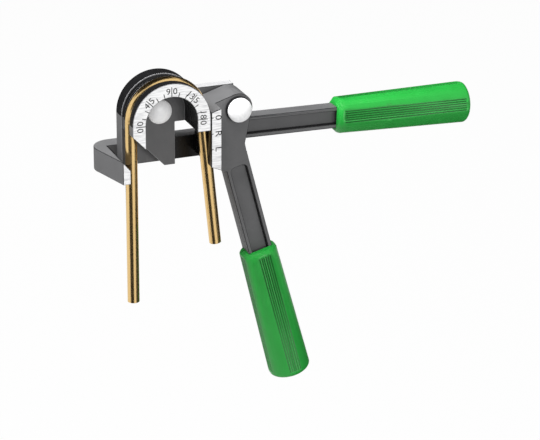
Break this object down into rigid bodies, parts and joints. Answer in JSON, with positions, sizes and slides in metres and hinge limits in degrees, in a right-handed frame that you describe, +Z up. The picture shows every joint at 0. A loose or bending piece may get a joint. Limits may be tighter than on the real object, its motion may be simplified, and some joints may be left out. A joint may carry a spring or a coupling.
{
  "type": "lever tube bender",
  "caption": "Hand lever tube bender with a grooved horseshoe form, hook, link and shoe lever with ribbed grips, shown with a bent tube loaded.",
  "frame": {"origin": "the bend centre, in the middle plane of the tube in the form's groove", "axes": "+X along the fixed handle, away from the form; +Y from the form's marked face to its back; +Z up, out of the top of the arch"},
  "size_m": [0.3424, 0.0766, 0.2855],
  "materials": {
    "casting": "charcoal painted casting with machined faces",
    "bright_steel": "bright",
    "dark_steel": "blackened",
    "bronze": "plain",
    "grip": "ribbed",
    "tube": "drawn"
  },
  "bodies": {
    "base": {"bending_form": "casting", "base_handle": "casting", "form_screws": "dark_steel", "form_dowels": "dark_steel", "base_grip": "grip", "center_pin": "bright_steel", "center_shim": "bright_steel", "center_washer": "bright_steel", "center_nut": "bright_steel", "tube": "tube"},
    "link": {"link": "bright_steel", "center_bush": "bronze", "lever_pin": "bright_steel", "lever_collar": "dark_steel", "lever_spacer": "bright_steel", "lever_washer": "bright_steel", "lever_nut": "bright_steel"},
    "lever": {"lever": "casting", "lever_bush": "bronze", "lever_grip": "grip"}
  },
  "joints": [
    {"name": "bend", "type": "hinge", "parent": "base", "child": "link", "pos_m": [0, 0, 0], "axis": [0, -1, 0], "range_deg": [0, 180]},
    {"name": "lever_swing", "type": "hinge", "parent": "link", "child": "lever", "pos_m": [0.062, 0, 0], "axis": [0, -1, 0], "range_deg": [0, 50]}
  ]
}
